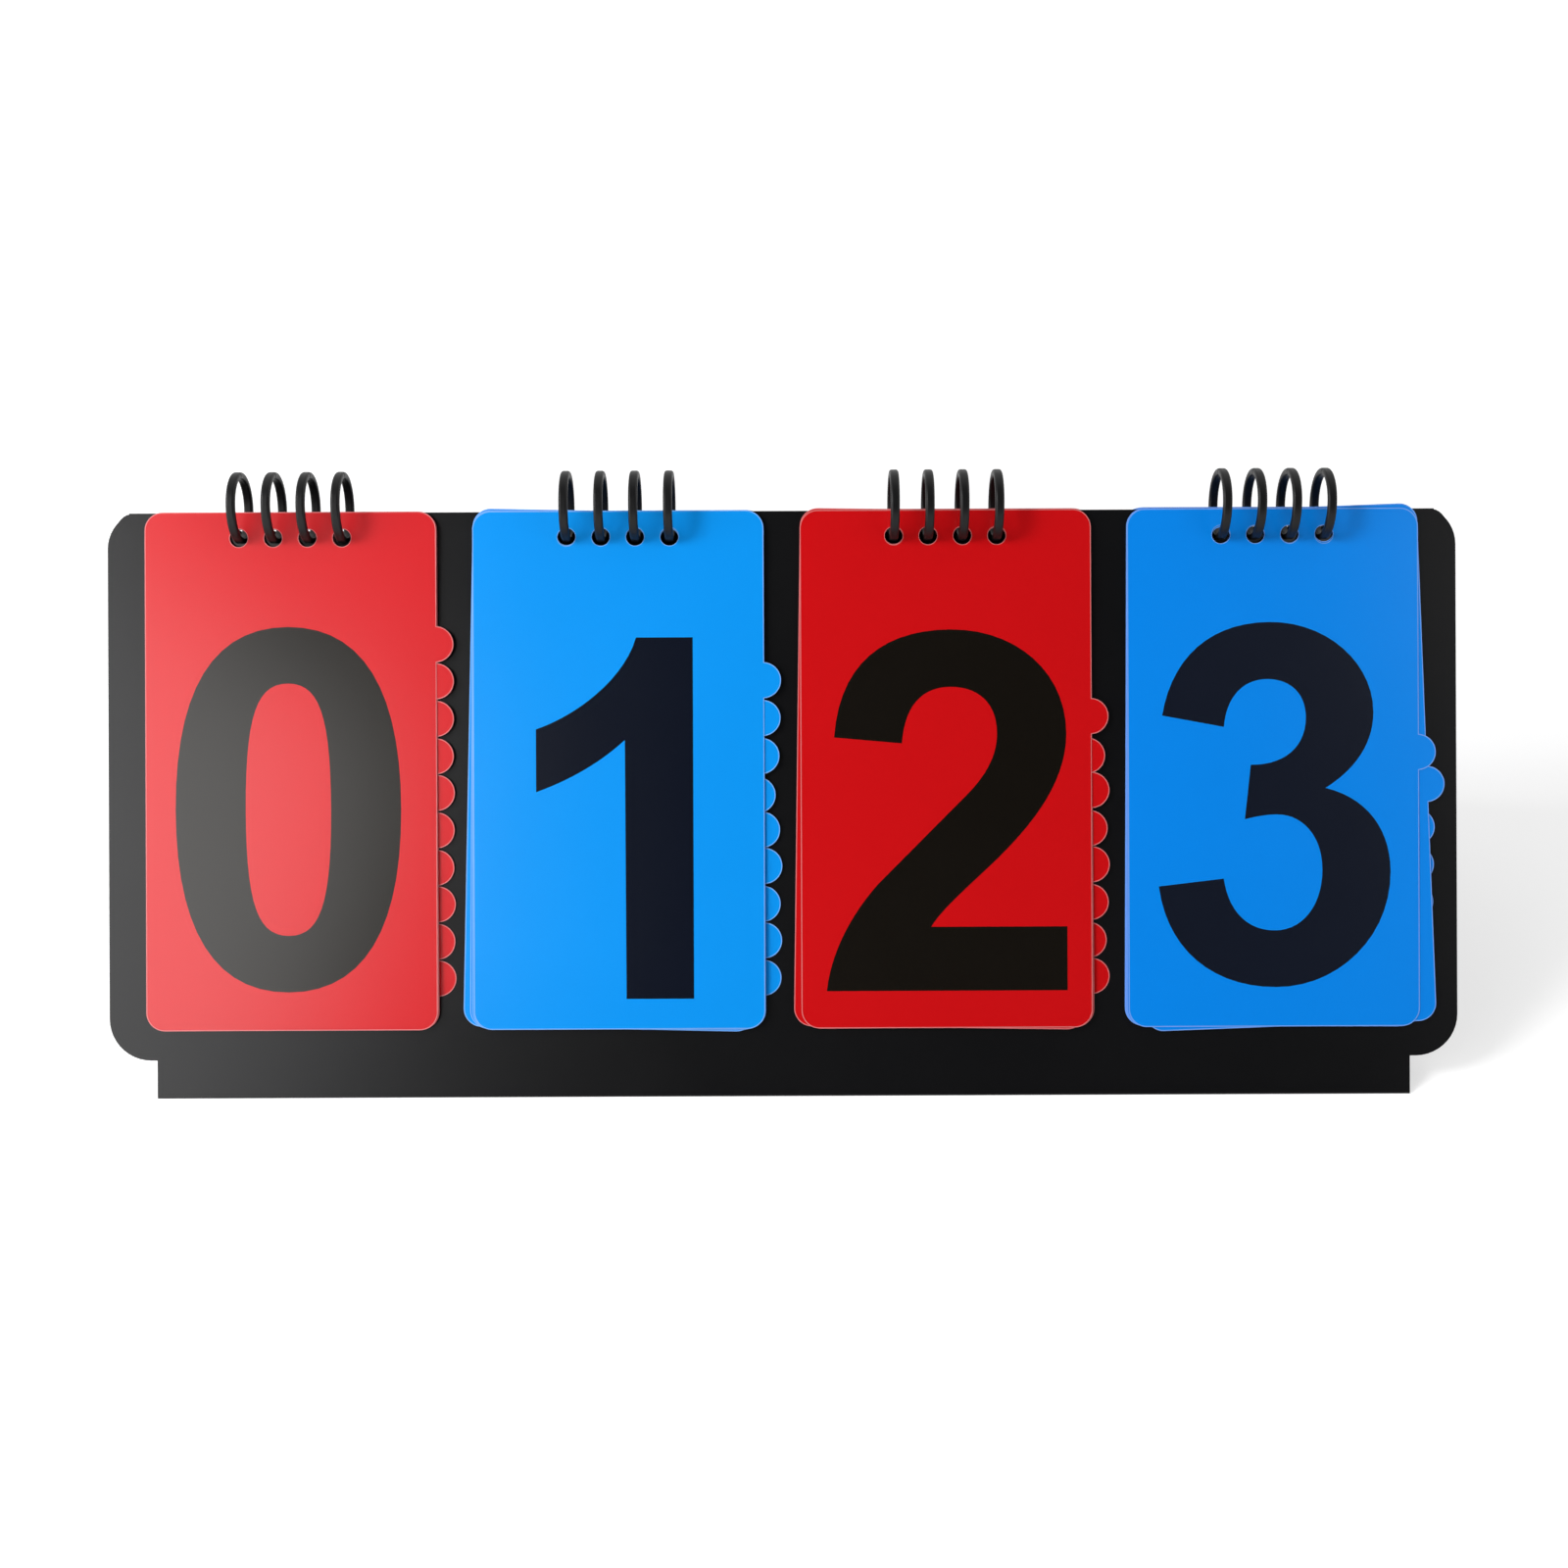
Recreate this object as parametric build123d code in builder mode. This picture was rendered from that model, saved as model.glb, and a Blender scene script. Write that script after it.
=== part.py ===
from build123d import *
import math
import os

# Flip scoreboard: a creased plastic sheet stands as a tent and carries four sets of ten number cards.
# Each set hangs on four rings that pass through the cards and through both slopes of the tent.
# X runs along the ridge, the front slope faces -Y, and Z = 0 is the surface that the tent stands on.

# Board: one plastic sheet, creased at the ridge and at the front foot
board_width = 374.0
face_length = 162.5
ridge_inset = 5.9
ear_top_radius = 10.6
ear_bottom_radius = 11.6
ear_step = 13.25
strip_height = 10.6
sheet_thickness = 0.8
apex_angle = 60.0
closed_angle = 10.0
crease_gap = 0.05
skive_margin = 0.03
foot_gap = 0.4
base_gap = 0.1
board_hole_diameter = 5.2
board_hole_rise = 1.0

# Tuck flap at the rear of the base, with its hook-and-loop pads
flap_inset = 23.75
flap_height = 15.0
flap_corner_radius = 8.0
pad_width = 25.0
pad_height = 12.0
pad_thickness = 0.7
pad_gap = 0.1
pad_inset = 50.0
pad_count = 2

# Number cards
card_width = 80.6
card_foot_clearance = 19.0
card_thickness = 0.15
card_gap = 0.02
stack_margin = 0.1
card_corner_radius = 5.0
card_count = 10
hole_diameter = 5.0
hole_pitch = 9.5
hole_count = 4
hole_edge_distance = 7.2
tab_radius = 5.0
tab_reach = 4.7
first_tab_drop = 36.75
last_tab_rise = 14.05

# Rings, and the line about which the cards turn over
flip_radius = 9.1
ring_drop = 0.7
ring_seat = 0.45
ring_width = 2.5
ring_depth = 1.8
ring_rounding = 0.7
seam_angle = 12.0
seam_width = 0.35
seam_depth = 0.15

# Card sets, from left to right along the ridge, and the digit that each one shows at the front
set_names = ("red_left", "blue_left", "red_right", "blue_right")
set_gap = 10.0
shown_digits = (0, 1, 2, 3)
# How far each card hangs askew in its own plane, in degrees, for digits 0 to 9
card_skews = (
    (0, 0.1, 0, -0.1, 0.1, 0, -0.1, 0.1, 0, 0.1),
    (0, 0, -0.2, -0.5, -1.3, -0.3, 0.1, -0.2, 0, -0.1),
    (0.1, 0, 0, -0.9, 0.2, -0.2, 0.2, 0, -0.3, 0.1),
    (0.1, 0, -0.1, 0, 2.0, -0.2, -0.3, -0.35, -0.4, -0.4),
)

# One overrun serves every cut
overrun = 5.0

# Places worked out from the sizes above
roll_radius = sheet_thickness / 2
sine = math.sin(math.radians(apex_angle / 2))
cosine = math.cos(math.radians(apex_angle / 2))
closed_tangent = math.tan(math.radians(closed_angle))

ridge_width = board_width - 2 * ridge_inset
ear_top_drop = math.sqrt(ridge_inset * (2 * ear_top_radius - ridge_inset))
strip_width = board_width - 2 * ear_step
flap_width = strip_width - 2 * flap_inset
pad_spacing = flap_width - 2 * pad_inset

hinge_slant = face_length - sheet_thickness
ridge_z = roll_radius + hinge_slant * cosine
foot_y = -hinge_slant * sine
back_top = roll_radius + crease_gap
back_slant = (ridge_z - roll_radius * sine - sheet_thickness - base_gap) / cosine
ear_slant = face_length - strip_height - roll_radius

pads_depth = 2 * pad_thickness + pad_gap
rear_y = ((ridge_z - roll_radius) * sine + sheet_thickness + pads_depth) / cosine
flap_top_slant = rear_y * sine + (ridge_z - roll_radius) * cosine - flap_height
pad_slant = (flap_top_slant + back_slant) / 2
skive_end = (sheet_thickness + skive_margin) / closed_tangent

card_height = face_length - card_foot_clearance
tab_pitch = (card_height - first_tab_drop - last_tab_rise) / (card_count - 1)
set_pitch = card_width + set_gap

card_step = card_thickness + card_gap
flip_rise = (card_count * card_step + stack_margin) / (2 * sine)
flip_z = ridge_z + sheet_thickness + flip_rise
ring_z = flip_z - ring_drop
ring_radius = flip_radius - ring_drop * cosine + ring_seat
ring_rise = ring_z - ridge_z
ring_crossing = math.sqrt(ring_radius**2 - (ring_rise * sine) ** 2) - ring_rise * cosine

front_normal = (0, -cosine, sine)
back_inward = (0, -cosine, -sine)
set_centres = [(place - (len(set_names) - 1) / 2) * set_pitch for place in range(len(set_names))]


def slope_plane(y, z, normal):
    """The plane through this point whose local Y runs up the slope that the normal belongs to."""
    return Plane(origin=(0, y, z), x_dir=(1, 0, 0), z_dir=normal)


def slope_sheet(top, bottom):
    """The sheet of one slope, drawn flat with the ridge along X: rounded ears, a narrower foot, ring holes."""
    ear_side = board_width / 2
    foot_side = strip_width / 2
    top_side = ear_side - ear_top_radius + math.sqrt(ear_top_radius**2 - (ear_top_drop - top) ** 2)
    with BuildSketch() as sheet:
        with BuildLine():
            Line((0, -top), (top_side, -top))
            TangentArc((ear_side, -ear_top_drop), (top_side, -top), tangent=(0, 1))
            FilletPolyline(
                (ear_side, -ear_top_drop),
                (ear_side, -ear_slant),
                (foot_side, -ear_slant),
                radius=ear_bottom_radius,
            )
            Polyline((foot_side, -ear_slant), (foot_side, -bottom), (0, -bottom))
            mirror(about=Plane.YZ)
        make_face()
        for centre in set_centres:
            with Locations((centre, board_hole_rise - ring_crossing)):
                with GridLocations(hole_pitch, 0, hole_count, 1):
                    Circle(board_hole_diameter / 2, mode=Mode.SUBTRACT)
    return sheet.sketch


def make_card(name, centre, digit, turned, skew):
    """One number card, hanging on the front slope or turned over onto the back one."""
    normal = back_inward if turned else front_normal
    depth = ((card_count - 1) / 2 - digit) * card_step
    flip_plane = Plane(origin=(centre, 0, flip_z), x_dir=(1, 0, 0), z_dir=normal)
    hole_row = flip_plane.offset(depth - card_thickness / 2).from_local_coords((0, -flip_radius, 0))
    lean = math.radians(skew)
    across = flip_plane.x_dir * math.cos(lean) + flip_plane.y_dir * math.sin(lean)
    card_plane = Plane(origin=hole_row, x_dir=across, z_dir=normal)
    tab_x = card_width / 2 + tab_reach - tab_radius
    tab_y = hole_edge_distance - first_tab_drop - digit * tab_pitch
    with BuildPart() as card:
        with BuildSketch(card_plane):
            with Locations((0, hole_edge_distance - card_height / 2)):
                RectangleRounded(card_width, card_height, card_corner_radius)
            with Locations((tab_x, tab_y)):
                Circle(tab_radius)
            with GridLocations(hole_pitch, 0, hole_count, 1):
                Circle(hole_diameter / 2, mode=Mode.SUBTRACT)
        extrude(amount=card_thickness)
    card.part.label = name
    export_step(card.part, f"parts/{name}.step")


def make_rings(name, centre):
    """Four rings in a row, each with the groove of its snap joint near the top."""
    seam = math.radians(seam_angle)
    seam_plane = Plane(
        origin=(centre, ring_radius * math.sin(seam), ring_z + ring_radius * math.cos(seam)),
        x_dir=(1, 0, 0),
        z_dir=(0, math.cos(seam), -math.sin(seam)),
    )
    groove_width = ring_width + 2 * seam_depth
    groove_depth = ring_depth + 2 * seam_depth
    core_width = ring_width - 2 * seam_depth
    core_depth = ring_depth - 2 * seam_depth
    with BuildPart() as rings:
        with BuildSketch(Plane.XZ):
            with Locations((centre, ring_z + ring_radius)):
                with GridLocations(hole_pitch, 0, hole_count, 1):
                    RectangleRounded(ring_width, ring_depth, ring_rounding)
        revolve(axis=Axis((centre, 0, ring_z), (1, 0, 0)))
        with BuildSketch(seam_plane.offset(-seam_width / 2)):
            with GridLocations(hole_pitch, 0, hole_count, 1):
                Rectangle(groove_width, groove_depth)
                RectangleRounded(core_width, core_depth, ring_rounding - seam_depth, mode=Mode.SUBTRACT)
        extrude(amount=seam_width, mode=Mode.SUBTRACT)
    rings.part.label = name
    export_step(rings.part, f"parts/{name}.step")


os.makedirs("parts", exist_ok=True)

# Front panel: the front slope, with the rolled ridge and the rolled foot that the other panels fold on
front_plane = slope_plane(0, ridge_z, front_normal)
with BuildPart() as front_panel:
    with BuildSketch(front_plane.offset(-sheet_thickness / 2)):
        add(slope_sheet(0, hinge_slant))
    extrude(amount=sheet_thickness)
    with BuildSketch(Plane.YZ):
        with Locations((0, ridge_z)):
            Circle(roll_radius)
    extrude(amount=ridge_width / 2, both=True)
    with BuildSketch(Plane.YZ):
        with Locations((foot_y, roll_radius)):
            Circle(roll_radius)
    extrude(amount=strip_width / 2, both=True)
front_panel.part.label = "front_panel"
export_step(front_panel.part, "parts/front_panel.step")

# Back panel: the back slope, thinned towards the ridge on its inner face so that the tent folds flat
back_plane = slope_plane(0, ridge_z, back_inward)
section_plane = Plane(origin=(0, 0, ridge_z), x_dir=(0, sine, -cosine), z_dir=(1, 0, 0))
with BuildPart() as back_panel:
    with BuildSketch(back_plane.offset(-sheet_thickness / 2)):
        add(slope_sheet(back_top, back_slant))
    extrude(amount=sheet_thickness)
    with BuildSketch(section_plane):
        with BuildLine():
            Polyline(
                (0, roll_radius + skive_margin),
                (skive_end, -roll_radius),
                (0, -roll_radius - overrun),
                close=True,
            )
        make_face()
    extrude(amount=board_width / 2, both=True, mode=Mode.SUBTRACT)
back_panel.part.label = "back_panel"
export_step(back_panel.part, "parts/back_panel.step")

# Base panel: lies on the table from the front foot to the rolled rear edge that the flap folds on
base_front_y = foot_y + roll_radius + foot_gap
with BuildPart() as base_panel:
    with BuildSketch(Plane.XY):
        with Locations((0, (base_front_y + rear_y) / 2)):
            Rectangle(strip_width, rear_y - base_front_y)
    extrude(amount=sheet_thickness)
    with BuildSketch(Plane.YZ):
        with Locations((rear_y, roll_radius)):
            Circle(roll_radius)
    extrude(amount=strip_width / 2, both=True)
base_panel.part.label = "base_panel"
export_step(base_panel.part, "parts/base_panel.step")

# Tuck flap: stands up from the rear edge and laps over the foot of the back slope
flap_plane = slope_plane(rear_y, roll_radius, back_inward)
flap_start = roll_radius + foot_gap
with BuildPart() as tuck_flap:
    with BuildSketch(flap_plane.offset(-sheet_thickness / 2)):
        with Locations((0, (flap_start + flap_height) / 2)):
            flap_face = Rectangle(flap_width, flap_height - flap_start)
        fillet(flap_face.vertices().group_by(Axis.Y)[-1], flap_corner_radius)
    extrude(amount=sheet_thickness)
tuck_flap.part.label = "tuck_flap"
export_step(tuck_flap.part, "parts/tuck_flap.step")

# Hook-and-loop pads: loops on the outer face of the back slope, hooks on the flap's inner face
pad_floors = {
    "loop_pads": -roll_radius - pad_thickness,
    "hook_pads": -roll_radius - pads_depth,
}
for pads_name, pad_floor in pad_floors.items():
    with BuildPart() as pads:
        with BuildSketch(back_plane.offset(pad_floor)):
            with Locations((0, -pad_slant)):
                with GridLocations(pad_spacing, 0, pad_count, 1):
                    Rectangle(pad_width, pad_height)
        extrude(amount=pad_thickness)
    pads.part.label = pads_name
    export_step(pads.part, f"parts/{pads_name}.step")

# Rings and cards of the four sets: the digits below the shown one are turned over to the back
for set_name, set_centre, shown, skews in zip(set_names, set_centres, shown_digits, card_skews):
    make_rings(f"{set_name}_rings", set_centre)
    for digit in range(card_count):
        make_card(f"{set_name}_card_{digit}", set_centre, digit, digit < shown, skews[digit])

print("ridge axis z", round(ridge_z, 4), "foot axis y", round(foot_y, 4), "rear axis y", round(rear_y, 4))
print("flip axis z", round(flip_z, 4), "ring axis z", round(ring_z, 4), "ring radius", round(ring_radius, 4))
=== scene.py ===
"""Looks of the flip scoreboard: printed film cards, moulded rings, grained board and hook-and-loop pads."""
import math

import bmesh
import bpy
from mathutils import Matrix, Vector
from mathutils.geometry import delaunay_2d_cdt


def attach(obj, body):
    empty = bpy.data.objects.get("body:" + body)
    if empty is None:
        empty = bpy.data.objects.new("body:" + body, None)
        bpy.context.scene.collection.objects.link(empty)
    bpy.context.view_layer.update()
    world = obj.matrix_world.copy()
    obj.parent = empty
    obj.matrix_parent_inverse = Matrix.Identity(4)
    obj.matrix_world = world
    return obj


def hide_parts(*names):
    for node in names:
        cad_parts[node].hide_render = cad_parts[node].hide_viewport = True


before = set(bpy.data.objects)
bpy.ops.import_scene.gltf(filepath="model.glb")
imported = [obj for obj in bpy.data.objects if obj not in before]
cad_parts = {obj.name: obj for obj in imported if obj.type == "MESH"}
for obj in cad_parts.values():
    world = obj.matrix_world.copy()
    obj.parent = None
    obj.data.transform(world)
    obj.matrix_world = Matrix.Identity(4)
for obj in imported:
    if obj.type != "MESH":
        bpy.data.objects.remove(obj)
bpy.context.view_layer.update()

MM = 0.001

# Tolerances: two face normals that count as one, the weld of a solid's corners, and the cut of flat outlines
SAME_WAY = 0.99
WELD = 1e-6
CUT_SLACK = 1e-7
CUT_TO_TRIANGLES = 1

# Card sets from left to right, and their film colour
SETS = ("red_left", "blue_left", "red_right", "blue_right")
DIGITS = range(10)

# Printed digits, in millimetres: x from the digit's middle, y up from its foot.
# A pair is the end of a straight line, six numbers are a curve: two handles and its end.
# A place is how far right of the card's middle and how far above its foot a digit is printed.
DIGIT_PLACE = (0.0, 10.5)
DIGIT_PLACES = {0: (-0.8, 11.7), 1: (-1.1, 8.4), 2: (0.1, 10.3), 3: (0.35, 12.0)}
CURVE_STEPS = 14


def oval(half_width, half_height, centre_x, centre_y, full_x=0.552, full_y=0.552):
    """A closed oval as four curves: a fullness of 0.552 is an ellipse, and 1 is a box."""
    left, right = centre_x - half_width, centre_x + half_width
    foot, top = centre_y - half_height, centre_y + half_height
    reach_x, reach_y = half_width * full_x, half_height * full_y
    return [
        (centre_x, top),
        (centre_x + reach_x, top, right, centre_y + reach_y, right, centre_y),
        (right, centre_y - reach_y, centre_x + reach_x, foot, centre_x, foot),
        (centre_x - reach_x, foot, left, centre_y - reach_y, left, centre_y),
        (left, centre_y + reach_y, centre_x - reach_x, top, centre_x, top),
    ]


def half_turn(outline, height):
    """The outline turned upside down within this height, as a 9 is a turned 6."""
    turned = []
    for point in outline:
        turned.append(tuple(height - v if i % 2 else -v for i, v in enumerate(point)))
    return turned


SIX_HEIGHT = 98.6
SIX_BODY = [
    (30.8, 76.2),
    (28.3, 91.8, 17.5, 100.0, 2.2, 100.0),
    (-19.5, 100.0, -32.3, 84.0, -32.3, 48.5),
    (-32.3, 14.0, -18.5, -1.4, 1.5, -1.4),
    (19.8, -1.4, 32.6, 11.8, 32.6, 31.4),
    (32.6, 51.0, 20.6, 64.2, 4.4, 64.2),
    (-3.0, 64.2, -9.3, 61.2, -14.0, 55.2),
    (-12.8, 75.5, -7.0, 85.0, 1.8, 85.0),
    (8.2, 85.0, 11.9, 81.2, 12.9, 74.2),
]
SIX_COUNTER = [
    (-11.9, 32.6),
    (-11.9, 43.0, -6.0, 49.4, 1.2, 49.4),
    (8.8, 49.4, 14.1, 43.0, 14.1, 30.9),
    (14.1, 19.2, 9.0, 13.2, 1.8, 13.2),
    (-5.8, 13.2, -11.9, 20.6, -11.9, 32.6),
]
SHAPES = {
    0: [oval(31.2, 50.55, 0.0, 49.45, 0.66, 0.66), oval(11.8, 34.9, 0.0, 49.45, 0.72, 0.76)],
    1: [
        [
            (6.0, 100.0),
            (21.7, 100.0),
            (21.7, 0.0),
            (3.0, 0.0),
            (2.8, 71.6),
            (-4.0, 65.5, -12.0, 60.8, -21.8, 57.3),
            (-21.8, 74.7),
            (-11.0, 78.3, 2.6, 88.2, 6.0, 100.0),
        ]
    ],
    2: [
        [
            (-33.4, 0.0),
            (33.3, 0.0),
            (33.3, 17.7),
            (-4.4, 17.7),
            (-1.5, 22.5, 5.0, 28.0, 13.9, 36.4),
            (25.0, 47.2, 33.2, 58.5, 33.2, 71.2),
            (33.2, 88.0, 19.5, 100.0, 1.4, 100.0),
            (-17.0, 100.0, -29.5, 91.0, -31.1, 70.2),
            (-12.3, 68.5),
            (-11.6, 78.5, -7.0, 84.1, 1.1, 84.1),
            (9.0, 84.1, 14.0, 79.5, 14.0, 71.2),
            (14.0, 64.5, 10.5, 58.8, 4.1, 52.7),
            (-18.75, 29.9),
            (-25.5, 22.5, -32.0, 12.0, -33.4, 0.0),
        ]
    ],
    3: [
        [
            (-31.1, 74.2),
            (-28.3, 90.5, -17.5, 100.0, -1.1, 100.0),
            (14.8, 100.0, 27.4, 88.5, 27.4, 75.0),
            (27.4, 66.5, 22.6, 59.3, 14.1, 54.0),
            (25.5, 51.2, 32.0, 42.5, 32.0, 30.8),
            (32.0, 12.8, 17.5, -1.1, 0.3, -1.1),
            (-17.5, -1.1, -30.0, 9.5, -32.2, 26.9),
            (-14.2, 29.0),
            (-12.9, 19.7, -7.5, 14.6, -0.1, 14.6),
            (7.6, 14.6, 13.1, 21.5, 13.1, 31.5),
            (13.1, 40.8, 7.6, 46.7, 0.6, 46.7),
            (-2.3, 46.7, -5.2, 46.2, -8.3, 45.4),
            (-6.6, 60.5),
            (2.6, 60.3, 8.7, 65.3, 8.7, 73.6),
            (8.7, 80.0, 4.6, 84.2, -2.0, 84.2),
            (-8.4, 84.2, -13.3, 79.6, -14.0, 71.0),
        ]
    ],
    4: [
        [
            (5.0, 0.0),
            (23.5, 0.0),
            (23.5, 20.0),
            (36.0, 20.0),
            (36.0, 37.0),
            (23.5, 37.0),
            (23.5, 100.0),
            (7.5, 100.0),
            (-36.0, 37.0),
            (-36.0, 20.0),
            (5.0, 20.0),
        ],
        [(5.0, 37.0), (5.0, 71.0), (-18.0, 37.0)],
    ],
    5: [
        [
            (-23.5, 98.7),
            (28.5, 98.7),
            (28.5, 80.9),
            (-9.2, 80.9),
            (-12.3, 63.2),
            (-7.5, 65.6, -2.8, 66.8, 2.0, 66.8),
            (20.0, 66.8, 32.5, 53.5, 32.5, 33.6),
            (32.5, 13.5, 19.5, -1.5, 0.5, -1.5),
            (-18.0, -1.5, -30.3, 9.2, -32.0, 25.6),
            (-13.4, 27.6),
            (-12.2, 18.8, -6.8, 13.8, 0.3, 13.8),
            (8.2, 13.8, 13.8, 20.8, 13.8, 33.0),
            (13.8, 45.0, 8.0, 51.6, 0.0, 51.6),
            (-5.6, 51.6, -10.2, 49.0, -14.4, 43.6),
            (-31.0, 45.6),
        ]
    ],
    6: [SIX_BODY, SIX_COUNTER],
    7: [
        [
            (-31.7, 98.7),
            (31.9, 98.7),
            (31.9, 85.0),
            (17.0, 69.0, 6.9, 31.0, 6.5, 0.0),
            (-11.9, 0.0),
            (-11.4, 30.0, -3.3, 60.0, 9.6, 81.3),
            (-31.7, 81.3),
        ]
    ],
    8: [
        [
            (0.0, 100.0),
            (17.4, 100.0, 28.2, 89.6, 28.2, 74.2),
            (28.2, 65.5, 23.3, 58.0, 14.8, 54.0),
            (26.0, 49.6, 32.8, 40.6, 32.8, 28.6),
            (32.8, 10.4, 20.0, -1.4, 0.0, -1.4),
            (-20.0, -1.4, -32.8, 10.4, -32.8, 28.6),
            (-32.8, 40.6, -26.0, 49.6, -14.8, 54.0),
            (-23.3, 58.0, -28.2, 65.5, -28.2, 74.2),
            (-28.2, 89.6, -17.4, 100.0, 0.0, 100.0),
        ],
        oval(11.1, 12.4, 0.0, 72.8),
        oval(14.4, 16.6, 0.0, 29.6),
    ],
    9: [half_turn(SIX_BODY, SIX_HEIGHT), half_turn(SIX_COUNTER, SIX_HEIGHT)],
}


def trace(outline):
    """The outline as a closed list of points, with each curve cut into short steps."""
    points = [Vector(outline[0])]
    for step in outline[1:]:
        if len(step) == 2:
            points.append(Vector(step))
            continue
        start = points[-1]
        first, second, end = Vector(step[0:2]), Vector(step[2:4]), Vector(step[4:6])
        for i in range(1, CURVE_STEPS + 1):
            t = i / CURVE_STEPS
            s = 1 - t
            points.append(s**3 * start + 3 * s * s * t * first + 3 * s * t * t * second + t**3 * end)
    if (points[0] - points[-1]).length < WELD:
        points.pop()
    return points


def node_group(name, inputs, outputs):
    """An empty shader node group with these sockets, and its input and output nodes."""
    group = bpy.data.node_groups.new(name, "ShaderNodeTree")
    for label, kind, value in inputs:
        socket = group.interface.new_socket(label, in_out="INPUT", socket_type=kind)
        if value is not None:
            socket.default_value = value
    for label, kind in outputs:
        group.interface.new_socket(label, in_out="OUTPUT", socket_type=kind)
    return group, group.nodes.new("NodeGroupInput"), group.nodes.new("NodeGroupOutput")


def feed(tree, node, values):
    """Gives a node's first inputs these sockets or plain numbers, and hands back its first output."""
    for socket, value in zip(node.inputs, values):
        if isinstance(value, bpy.types.NodeSocket):
            tree.links.new(value, socket)
        else:
            socket.default_value = value
    return node.outputs[0]


def maths(tree, operation, *values):
    """A maths node's result."""
    node = tree.nodes.new("ShaderNodeMath")
    node.operation = operation
    return feed(tree, node, values)


def smooth_step(tree, value, start, end, low, high):
    """A smooth change from low to high while the value goes from start to end."""
    node = tree.nodes.new("ShaderNodeMapRange")
    node.interpolation_type = "SMOOTHSTEP"
    return feed(tree, node, (value, start, end, low, high))


GRAIN_DETAIL = 3.0
SMEAR_DETAIL = 4.0
SMEAR_ROUGHNESS = 0.6
NOISE_MIDDLE = 0.5
GRAIN_HEIGHT = 0.05 * MM


def surface_grain():
    """Fine moulded grain: a height for bump and a roughness that wanders around its middle value."""
    group, given, made = node_group(
        "surface_grain",
        [
            ("Position", "NodeSocketVector", None),
            ("Grain per metre", "NodeSocketFloat", 2500.0),
            ("Smear per metre", "NodeSocketFloat", 25.0),
            ("Roughness", "NodeSocketFloat", 0.4),
            ("Smear", "NodeSocketFloat", 0.1),
        ],
        [("Height", "NodeSocketFloat"), ("Roughness", "NodeSocketFloat"), ("Smear mask", "NodeSocketFloat")],
    )
    nodes, links = group.nodes, group.links
    grain = nodes.new("ShaderNodeTexNoise")
    grain.inputs["Detail"].default_value = GRAIN_DETAIL
    smear = nodes.new("ShaderNodeTexNoise")
    smear.inputs["Detail"].default_value = SMEAR_DETAIL
    smear.inputs["Roughness"].default_value = SMEAR_ROUGHNESS
    for noise, scale in ((grain, "Grain per metre"), (smear, "Smear per metre")):
        links.new(given.outputs["Position"], noise.inputs["Vector"])
        links.new(given.outputs[scale], noise.inputs["Scale"])
    centred = maths(group, "SUBTRACT", smear.outputs["Fac"], NOISE_MIDDLE)
    wander = maths(group, "MULTIPLY_ADD", centred, given.outputs["Smear"], given.outputs["Roughness"])
    links.new(grain.outputs["Fac"], made.inputs["Height"])
    links.new(wander, made.inputs["Roughness"])
    links.new(smear.outputs["Fac"], made.inputs["Smear mask"])
    return group


def tone_shift():
    """A colour that drifts a little between two tones over a mask."""
    group, given, made = node_group(
        "tone_shift",
        [
            ("Mask", "NodeSocketFloat", 0.5),
            ("Deep", "NodeSocketColor", (0, 0, 0, 1)),
            ("Light", "NodeSocketColor", (1, 1, 1, 1)),
        ],
        [("Colour", "NodeSocketColor")],
    )
    mix = group.nodes.new("ShaderNodeMix")
    mix.data_type = "RGBA"
    group.links.new(given.outputs["Mask"], mix.inputs["Factor"])
    group.links.new(given.outputs["Deep"], mix.inputs["A"])
    group.links.new(given.outputs["Light"], mix.inputs["B"])
    group.links.new(mix.outputs["Result"], made.inputs["Colour"])
    return group


GRAIN = surface_grain()
TONE = tone_shift()


def linear(red, green, blue):
    """A colour read on a screen, 0 to 255, as the light values that a shader takes."""
    channels = []
    for level in (red, green, blue):
        share = level / 255
        channels.append(share / 12.92 if share <= 0.04045 else ((share + 0.055) / 1.055) ** 2.4)
    return (*channels, 1.0)


def shade(colour, factor):
    """The colour made lighter or darker by a factor."""
    return (*(min(1.0, c * factor) for c in colour[:3]), 1.0)


def paler(colour, share):
    """The colour mixed with this share of white."""
    return (*(c + (1 - c) * share for c in colour[:3]), 1.0)


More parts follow.
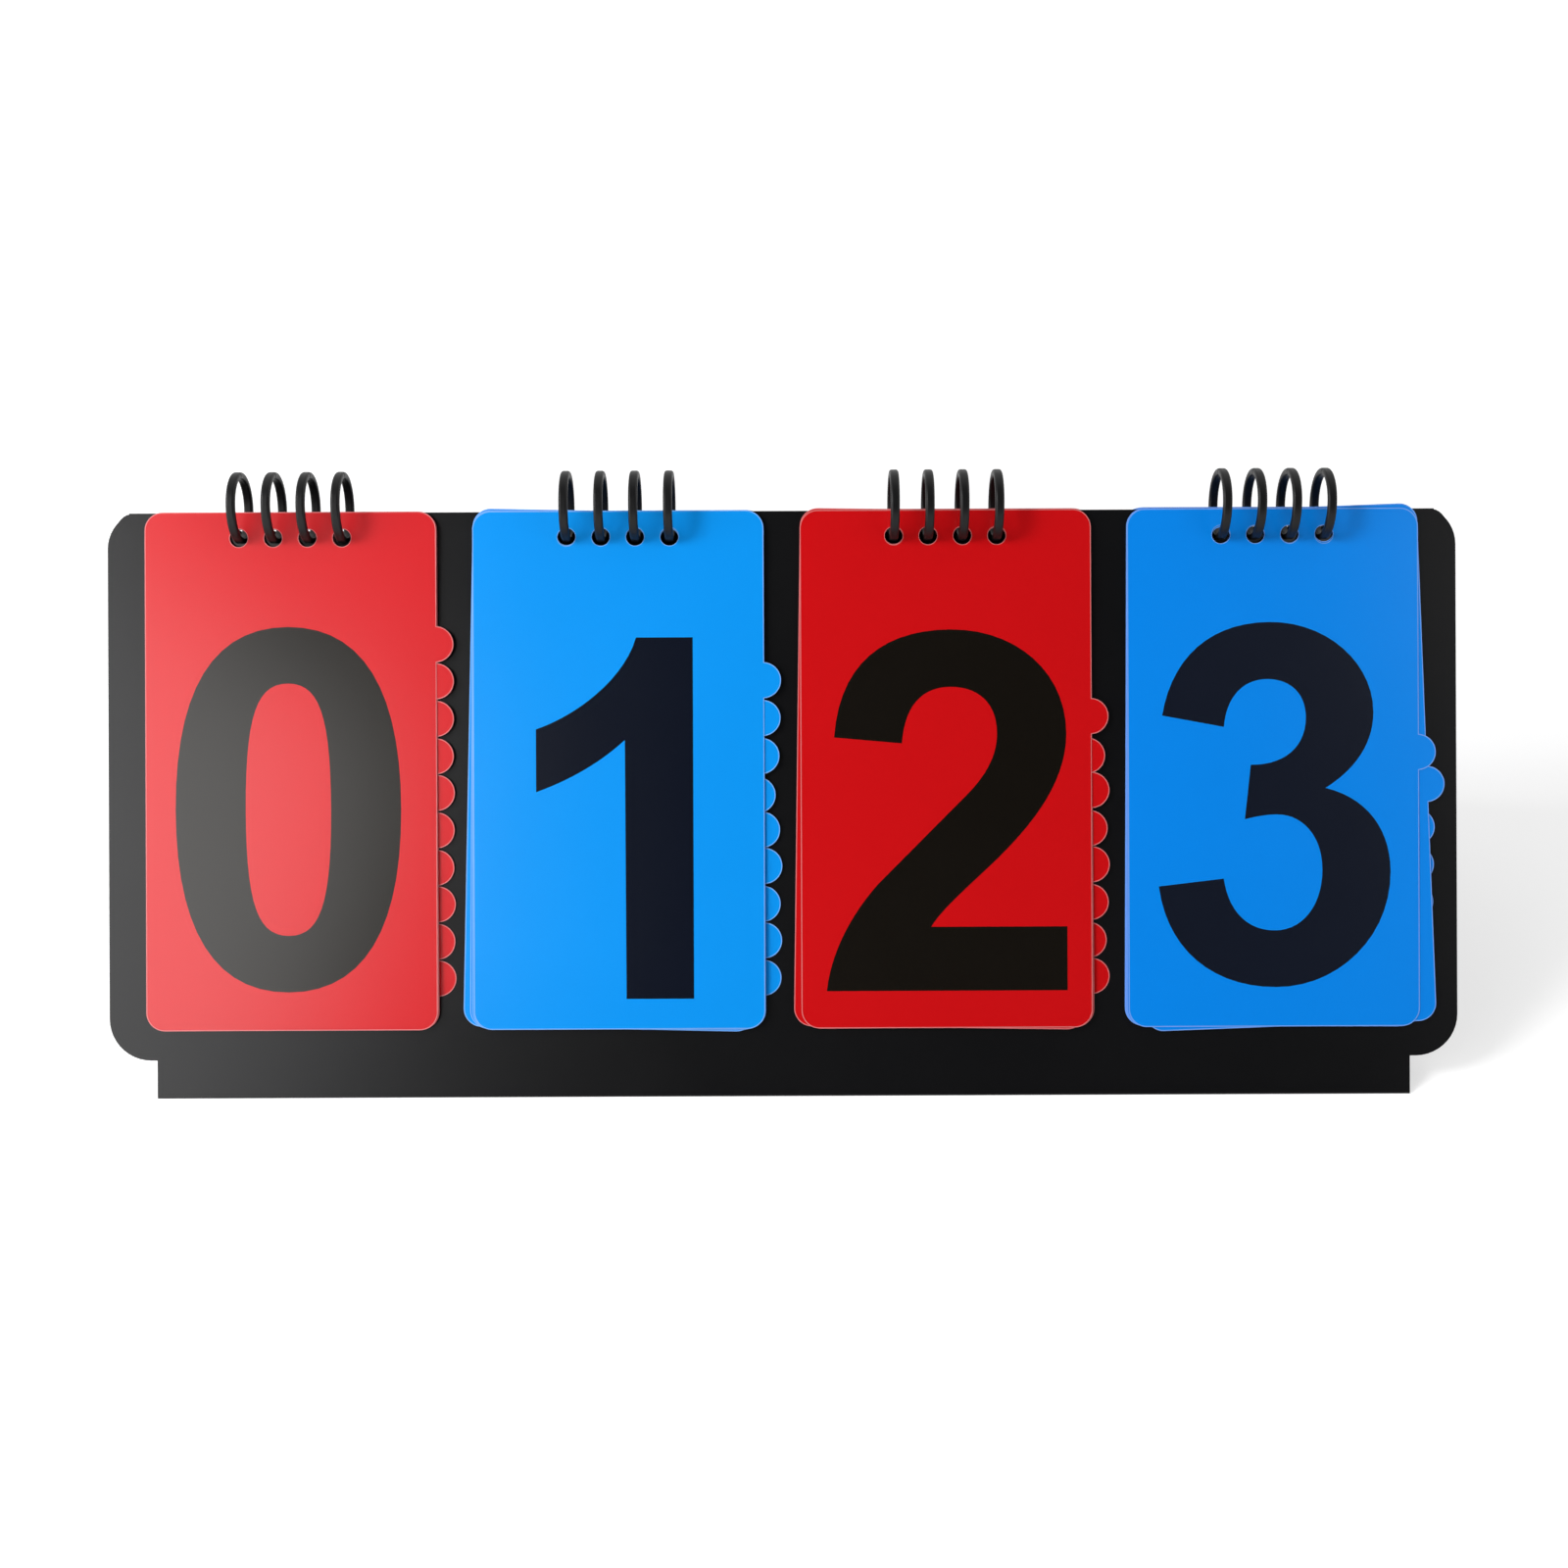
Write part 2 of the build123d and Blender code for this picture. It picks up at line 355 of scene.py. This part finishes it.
def plastic(name, colour, roughness, grain, bump, smear=0.08, smear_scale=25.0, spread=0.06, specular=0.5):
    """A plastic with moulded or rolled grain, and a tone and gloss that wander slightly over it."""
    material = bpy.data.materials.new(name)
    material.use_nodes = True
    nodes, links = material.node_tree.nodes, material.node_tree.links
    shader = nodes["Principled BSDF"]
    place = nodes.new("ShaderNodeTexCoord")
    texture = nodes.new("ShaderNodeGroup")
    texture.node_tree = GRAIN
    texture.inputs["Grain per metre"].default_value = grain
    texture.inputs["Smear per metre"].default_value = smear_scale
    texture.inputs["Roughness"].default_value = roughness
    texture.inputs["Smear"].default_value = smear
    links.new(place.outputs["Object"], texture.inputs["Position"])
    tone = nodes.new("ShaderNodeGroup")
    tone.node_tree = TONE
    tone.inputs["Deep"].default_value = shade(colour, 1 - spread)
    tone.inputs["Light"].default_value = shade(colour, 1 + spread)
    links.new(texture.outputs["Smear mask"], tone.inputs["Mask"])
    relief = nodes.new("ShaderNodeBump")
    relief.inputs["Strength"].default_value = bump
    relief.inputs["Distance"].default_value = GRAIN_HEIGHT
    links.new(texture.outputs["Height"], relief.inputs["Height"])
    links.new(tone.outputs["Colour"], shader.inputs["Base Color"])
    links.new(texture.outputs["Roughness"], shader.inputs["Roughness"])
    links.new(relief.outputs["Normal"], shader.inputs["Normal"])
    shader.inputs["Specular IOR Level"].default_value = specular
    return material


BOARD = plastic(
    "board_black",
    linear(8, 8, 10),
    roughness=0.3,
    grain=4200.0,
    bump=0.25,
    smear_scale=14.0,
    spread=0.1,
    specular=0.4,
)
RING = plastic(
    "ring_plastic",
    linear(10, 10, 11),
    roughness=0.42,
    grain=1800.0,
    bump=0.25,
    smear=0.15,
    smear_scale=220.0,
    spread=0.15,
    specular=0.25,
)
HOOK = plastic("hook_nylon", linear(20, 20, 22), roughness=0.6, grain=3000.0, bump=0.4)
LOOP = plastic("loop_nylon", linear(28, 28, 30), roughness=0.85, grain=5200.0, bump=0.6)
CARD_GLOSS = {"roughness": 0.24, "grain": 900.0, "smear": 0.05, "smear_scale": 18.0}
FILMS = {
    "red_left": linear(208, 32, 38),
    "blue_left": linear(5, 148, 240),
    "red_right": linear(203, 10, 16),
    "blue_right": linear(3, 137, 240),
}
# Digit print colours per set; the same ink material also paints shade on the walls of the card holes
INKS = {
    "red_left": linear(26, 22, 16),
    "blue_left": linear(5, 12, 28),
    "red_right": linear(16, 12, 7),
    "blue_right": linear(16, 22, 36),
}


def card_front(node):
    """The corner loops of a card's printed side, with the card's own axes, read from its solid."""
    solid = bmesh.new()
    solid.from_mesh(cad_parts[node].data)
    bmesh.ops.remove_doubles(solid, verts=solid.verts, dist=WELD)
    solid.faces.ensure_lookup_table()
    largest = max(solid.faces, key=lambda face: face.calc_area())
    normal = largest.normal.copy()
    if normal.y > 0:
        normal.negate()
    side = {face for face in solid.faces if face.normal.dot(normal) > SAME_WAY}
    rim = [edge for edge in solid.edges if sum(face in side for face in edge.link_faces) == 1]
    longest = max(rim, key=lambda edge: edge.calc_length())
    up = (longest.verts[1].co - longest.verts[0].co).normalized()
    if up.z < 0:
        up.negate()
    across = up.cross(normal)
    near = {}
    for edge in rim:
        a, b = edge.verts
        near.setdefault(a, []).append(b)
        near.setdefault(b, []).append(a)
    chains, used = [], set()
    for start in near:
        if start in used:
            continue
        chain, here = [], start
        while here is not None:
            used.add(here)
            chain.append(here.co.copy())
            here = next((other for other in near[here] if other not in used), None)
        chains.append(chain)
    reverse = [face for face in solid.faces if face.normal.dot(normal) < -SAME_WAY]
    thickness = chains[0][0].dot(normal) - min(face.calc_center_median().dot(normal) for face in reverse)
    solid.free()
    return chains, across, up, normal, thickness


def turn_sense(points):
    """Twice the signed area: above zero for a loop that runs anticlockwise."""
    return sum(a.x * b.y - b.x * a.y for a, b in zip(points, points[1:] + points[:1]))


def anticlockwise(points):
    """The loop, turned round if it runs clockwise."""
    return points if turn_sense(points) > 0 else points[::-1]


def inset(points, width):
    """A closed anticlockwise loop moved inwards by this width."""
    moved = []
    for before, here, after in zip(points[-1:] + points[:-1], points, points[1:] + points[:1]):
        first, second = (here - before).normalized(), (after - here).normalized()
        inward = Vector((-first.y - second.y, first.x + second.x))
        moved.append(here + inward.normalized() * width)
    return moved


# Pale bands on both faces, along each card's outline and round its holes, are painted highlight in the same
# pale material as the film's cut edges
HIGHLIGHT_RIM_WIDTH = 0.28 * MM
HOLE_HIGHLIGHT_RIM_WIDTH = 0.18 * MM
EDGE_HIGHLIGHT_PALENESS = 0.16
# Material slots: film; digit ink, also painted shade on the hole walls; pale cut edge, also painted highlight
# on the rim bands
FILM, INK_AND_HOLE_SHADE, EDGE_AND_HIGHLIGHT = 0, 1, 2


def dress_card(set_name, digit, materials):
    """A printed card in place of its solid: pale cut edges, pale bands of painted highlight along its outline
    and round its holes, coloured film, a black digit, and dark ink on the hole walls as painted shade.
    """
    node = f"{set_name}_card_{digit}"
    chains, across, up, normal, thickness = card_front(node)
    flat = [[Vector((p.dot(across), p.dot(up))) for p in chain] for chain in chains]
    flat = [anticlockwise(loop) for loop in flat]
    depth = chains[0][0].dot(normal)
    outline = max(flat, key=turn_sense)
    holes = [loop for loop in flat if loop is not outline]
    foot = min(p.y for p in outline)
    middle = sum(p.x for hole in holes for p in hole) / sum(len(hole) for hole in holes)
    right_by, up_by = DIGIT_PLACES.get(digit, DIGIT_PLACE)
    origin = Vector((middle + right_by * MM, foot + up_by * MM))
    drawn = [anticlockwise([origin + p * MM for p in trace(path)]) for path in SHAPES[digit]]

    # Rings round the holes and a band inside the outline take the pale edge material as painted highlight
    hole_highlight_rims = [inset(hole, -HOLE_HIGHLIGHT_RIM_WIDTH) for hole in holes]
    loops = [outline, inset(outline, HIGHLIGHT_RIM_WIDTH), *hole_highlight_rims, *holes, *drawn]
    points, faces = [], []
    for loop in loops:
        faces.append(list(range(len(points), len(points) + len(loop))))
        points.extend(loop)
    first_highlight_rim = 2
    first_hole = first_highlight_rim + len(holes)
    first_ink = first_hole + len(holes)
    made = delaunay_2d_cdt(points, [], faces, CUT_TO_TRIANGLES, CUT_SLACK)
    corners, triangles, sources, owners = made[0], made[2], made[3], made[5]

    mesh = bmesh.new()
    lift = normal * depth
    front = [mesh.verts.new(across * p.x + up * p.y + lift) for p in corners]
    back = [mesh.verts.new(across * p.x + up * p.y + lift - normal * thickness) for p in corners]
    kept = []
    for triangle, owner in zip(triangles, owners):
        inside = set(owner)
        if any(first_hole <= i < first_ink for i in inside) or 0 not in inside:
            continue
        inks = sum(i >= first_ink for i in inside)
        kind = INK_AND_HOLE_SHADE if inks == 1 else FILM
        # Triangles outside the inset outline, or inside a ring round a hole, are painted highlight
        on_highlight_rim = 1 not in inside or any(first_highlight_rim <= i < first_hole for i in inside)
        kept.append((triangle, EDGE_AND_HIGHLIGHT if on_highlight_rim else kind))
    # The walls of the holes take the dark ink material as painted shade
    hole_points = {i for loop in faces[first_hole:first_ink] for i in loop}
    in_holes = {i for i, given in enumerate(sources) if hole_points.intersection(given)}
    uses = {}
    for triangle, kind in kept:
        face = mesh.faces.new([front[i] for i in triangle])
        face.material_index = kind
        reverse = mesh.faces.new([back[i] for i in reversed(triangle)])
        reverse.material_index = EDGE_AND_HIGHLIGHT if kind == EDGE_AND_HIGHLIGHT else FILM
        for a, b in zip(triangle, [*triangle[1:], triangle[0]]):
            uses[(a, b)] = uses.get((a, b), 0) + 1
    for a, b in uses:
        if (b, a) not in uses:
            wall = mesh.faces.new([front[b], front[a], back[a], back[b]])
            wall.material_index = INK_AND_HOLE_SHADE if {a, b} <= in_holes else EDGE_AND_HIGHLIGHT
    bmesh.ops.delete(mesh, geom=[v for v in mesh.verts if not v.link_faces], context="VERTS")
    bmesh.ops.recalc_face_normals(mesh, faces=mesh.faces)
    data = bpy.data.meshes.new(f"{node}_printed")
    mesh.to_mesh(data)
    mesh.free()
    for material in materials:
        data.materials.append(material)
    piece = bpy.data.objects.new(f"{node}_printed", data)
    bpy.context.scene.collection.objects.link(piece)
    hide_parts(node)
    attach(piece, node)
    return piece


def dress_cards():
    """All four sets, each with its own batch of film and ink."""
    for set_name in SETS:
        film, ink = FILMS[set_name], INKS[set_name]
        # The ink material is also the painted shade on the hole walls
        materials = [
            plastic(f"{set_name}_film", film, bump=0.04, spread=0.03, **CARD_GLOSS),
            plastic(f"{set_name}_ink", ink, bump=0.05, spread=0.08, **CARD_GLOSS),
            # Pale material: the film's cut edges, and also the painted highlight on the rim bands
            plastic(f"{set_name}_cut_edge_and_highlight", paler(film, EDGE_HIGHLIGHT_PALENESS), roughness=0.4, grain=1500.0, bump=0.1),
        ]
        for digit in DIGITS:
            dress_card(set_name, digit, materials)


def paint(node, material):
    """Gives a CAD node its material."""
    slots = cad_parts[node].data.materials
    slots.clear()
    slots.append(material)


# Fastener pads on the back slope and on the flap: backing thickness, pitch, and sizes of a hook and a loop
PAD_BACKING = 0.3 * MM
PAD_PITCH = 1.2 * MM
PAD_SINK = 0.05 * MM
HOOK_HALF = 0.1 * MM
HOOK_REACH = 0.34 * MM
LOOP_HALF = 0.06 * MM
LOOP_SPAN = 0.36 * MM
HALF_ANGLE = math.radians(30)
RIGHTWARD = Vector((1, 0, 0))
BACK_UP = Vector((0, -math.sin(HALF_ANGLE), math.cos(HALF_ANGLE)))
BACK_INWARD = Vector((0, -math.cos(HALF_ANGLE), -math.sin(HALF_ANGLE)))
BLOCK_SIDES = ((0, 2, 3, 1), (4, 5, 7, 6), (0, 1, 5, 4), (2, 6, 7, 3), (0, 4, 6, 2), (1, 3, 7, 5))


def block(mesh, axes, low, high):
    """A closed box between two corners, told along these axes."""
    corners = []
    for i in range(8):
        place = [high[k] if i >> k & 1 else low[k] for k in range(3)]
        corners.append(mesh.verts.new(sum((axis * step for axis, step in zip(axes, place)), Vector())))
    for side in BLOCK_SIDES:
        mesh.faces.new([corners[i] for i in side])


def hook(mesh, axes, x, y, floor, top, turned):
    """A stem with a head that reaches to one side."""
    t = HOOK_HALF
    left, right = (t, HOOK_REACH) if turned else (HOOK_REACH, t)
    block(mesh, axes, (x - t, y - t, floor), (x + t, y + t, top - t))
    block(mesh, axes, (x - left, y - t, top - 2 * t), (x + right, y + t, top))


def loop(mesh, axes, x, y, floor, top, turned):
    """A small arch of thread that stands along the pad or across it."""
    t, s = LOOP_HALF, LOOP_SPAN
    along, across = (0, s) if turned else (s, 0)
    for way in (-1, 1):
        leg_x, leg_y = x + way * along, y + way * across
        block(mesh, axes, (leg_x - t, leg_y - t, floor), (leg_x + t, leg_y + t, top - t))
    block(mesh, axes, (x - along - t, y - across - t, top - 2 * t), (x + along + t, y + across + t, top))


def dress_pads(node, body, facing, stand, material):
    """Both pads of one kind: a backing with rows of hooks or of loops, in place of the plain solids."""
    axes = (RIGHTWARD, BACK_UP, facing)
    mesh = bmesh.new()
    for side in (-1, 1):
        places = [
            [vertex.co.dot(axis) for axis in axes]
            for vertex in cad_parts[node].data.vertices
            if vertex.co.x * side > 0
        ]
        low = [min(column) for column in zip(*places)]
        high = [max(column) for column in zip(*places)]
        floor = low[2] + PAD_BACKING
        block(mesh, axes, low, (high[0], high[1], floor))
        counts = [int((high[k] - low[k]) / PAD_PITCH) for k in range(2)]
        steps = [(high[k] - low[k]) / counts[k] for k in range(2)]
        for i in range(counts[0]):
            for j in range(counts[1]):
                x, y = low[0] + (i + 0.5) * steps[0], low[1] + (j + 0.5) * steps[1]
                stand(mesh, axes, x, y, floor - PAD_SINK, high[2], (i + j) % 2 == 0)
    bmesh.ops.recalc_face_normals(mesh, faces=mesh.faces)
    data = bpy.data.meshes.new(f"{node}_napped")
    mesh.to_mesh(data)
    mesh.free()
    data.materials.append(material)
    piece = bpy.data.objects.new(f"{node}_napped", data)
    bpy.context.scene.collection.objects.link(piece)
    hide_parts(node)
    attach(piece, body)


# Camera: square to the front slope, as in the photograph
IMAGE_WIDTH = 1600
FOCAL_PIXELS = 1940.0
SENSOR = 36.0
CAMERA_REACH = 0.528
AIM_BELOW_RIDGE = 0.07545
AIM_RIGHT = 0.0004
ROLL = math.radians(-0.24)
RIDGE_HEIGHT = 0.14044
RIDGE = Vector((AIM_RIGHT, 0, RIDGE_HEIGHT))
UP_SLOPE = Vector((0, math.sin(HALF_ANGLE), math.cos(HALF_ANGLE)))
OUTWARD = Vector((0, -math.cos(HALF_ANGLE), math.sin(HALF_ANGLE)))
AIM = RIDGE - UP_SLOPE * AIM_BELOW_RIDGE


def place_camera():
    """The photograph's camera."""
    data = bpy.data.cameras.new("camera")
    data.sensor_width = SENSOR
    data.lens = FOCAL_PIXELS / IMAGE_WIDTH * SENSOR
    camera = bpy.data.objects.new("camera", data)
    bpy.context.scene.collection.objects.link(camera)
    facing = Matrix((RIGHTWARD, UP_SLOPE, OUTWARD)).transposed().to_4x4()
    place = Matrix.Translation(AIM + OUTWARD * CAMERA_REACH)
    camera.matrix_world = place @ facing @ Matrix.Rotation(ROLL, 4, "Z")
    bpy.context.scene.camera = camera


def lamp(name, right, up, out, width, height, radiance):
    """A soft rectangular lamp that faces the front slope. Its place is told from the camera's aim."""
    data = bpy.data.lights.new(name, "AREA")
    data.shape = "RECTANGLE"
    data.size, data.size_y = width, height
    data.energy = radiance * math.pi * width * height
    made = bpy.data.objects.new(name, data)
    bpy.context.scene.collection.objects.link(made)
    made.location = AIM + RIGHTWARD * right + UP_SLOPE * up + OUTWARD * out
    made.rotation_euler = (AIM - made.location).to_track_quat("-Z", "Y").to_euler()


FLOOR_HALF = 4.0
FLOOR_COLOUR = (0.86, 0.86, 0.86, 1)
FLOOR_ROUGHNESS = 0.9
WHITE = (1, 1, 1, 1)
FLOOR_LIFT_NEAR, FLOOR_LIFT_FAR = 0.5, 1.0
FLOOR_NEAR, FLOOR_FAR = 0.3, 0.9
ROOM_BRIGHT, ROOM_DIM = 0.45, 0.02
DIM_EDGE, DIM_CORE = math.cos(math.radians(75)), math.cos(math.radians(45))


def place_floor():
    """A pale floor that shows white beyond the object's shadow."""
    h = FLOOR_HALF
    mesh = bpy.data.meshes.new("floor")
    mesh.from_pydata([(-h, -h, 0), (h, -h, 0), (h, h, 0), (-h, h, 0)], [], [(0, 1, 2, 3)])
    floor = bpy.data.objects.new("floor", mesh)
    bpy.context.scene.collection.objects.link(floor)
    material = bpy.data.materials.new("floor_pale")
    material.use_nodes = True
    tree = material.node_tree
    shader = tree.nodes["Principled BSDF"]
    shader.inputs["Base Color"].default_value = FLOOR_COLOUR
    shader.inputs["Roughness"].default_value = FLOOR_ROUGHNESS
    shader.inputs["Specular IOR Level"].default_value = 0.0
    shader.inputs["Emission Color"].default_value = WHITE
    place = tree.nodes.new("ShaderNodeTexCoord")
    reach = tree.nodes.new("ShaderNodeVectorMath")
    reach.operation = "LENGTH"
    tree.links.new(place.outputs["Object"], reach.inputs[0])
    distance = reach.outputs["Value"]
    lift = smooth_step(tree, distance, FLOOR_NEAR, FLOOR_FAR, FLOOR_LIFT_NEAR, FLOOR_LIFT_FAR)
    path = tree.nodes.new("ShaderNodeLightPath").outputs
    seen = maths(tree, "MAXIMUM", path["Is Camera Ray"], path["Is Transmission Ray"])
    seen = maths(tree, "MAXIMUM", seen, path["Is Glossy Ray"])
    tree.links.new(maths(tree, "MULTIPLY", lift, seen), shader.inputs["Emission Strength"])
    mesh.materials.append(material)


def place_room():
    """A pale room that is dim in front of the object, so that its black stays black."""
    world = bpy.data.worlds.new("room")
    world.use_nodes = True
    tree = world.node_tree
    backdrop = tree.nodes["Background"]
    backdrop.inputs["Color"].default_value = WHITE
    place = tree.nodes.new("ShaderNodeTexCoord")
    facing = tree.nodes.new("ShaderNodeVectorMath")
    facing.operation = "DOT_PRODUCT"
    facing.inputs[1].default_value = OUTWARD
    tree.links.new(place.outputs["Generated"], facing.inputs[0])
    ahead = facing.outputs["Value"]
    strength = smooth_step(tree, ahead, DIM_EDGE, DIM_CORE, ROOM_BRIGHT, ROOM_DIM)
    mirrored = smooth_step(tree, ahead, DIM_EDGE, DIM_CORE, 1.0, ROOM_DIM)
    path = tree.nodes.new("ShaderNodeLightPath").outputs
    in_gloss = maths(tree, "MULTIPLY", mirrored, path["Is Glossy Ray"])
    for seen in (in_gloss, path["Is Camera Ray"], path["Is Transmission Ray"]):
        strength = maths(tree, "MAXIMUM", strength, seen)
    tree.links.new(strength, backdrop.inputs["Strength"])
    bpy.context.scene.world = world


# Lamps: place to the right, up the slope and out from the camera's aim, then width, height and radiance
LAMPS = {
    "window": (-0.62, 0.0, 0.5, 0.95, 0.5, 3.2),
    "high_left": (-0.9, 0.5, 0.9, 0.4, 0.35, 20.0),
    "high_right": (0.9, 0.95, 0.7, 1.4, 1.0, 0.7),
    "side_right": (0.62, 0.05, 0.55, 0.4, 0.5, 1.0),
}


def place_lamps():
    """A window at the left with its gloss on the first set, a weak one at the right, and two high lamps."""
    for name, placed in LAMPS.items():
        lamp(name, *placed)


for panel in ("front_panel", "back_panel", "base_panel", "tuck_flap"):
    paint(panel, BOARD)
for set_name in SETS:
    paint(f"{set_name}_rings", RING)
dress_cards()
dress_pads("hook_pads", "flap", BACK_INWARD, hook, HOOK)
dress_pads("loop_pads", "back", -BACK_INWARD, loop, LOOP)
place_camera()
place_floor()
place_room()
place_lamps()
bpy.context.scene.view_settings.view_transform = "Standard"
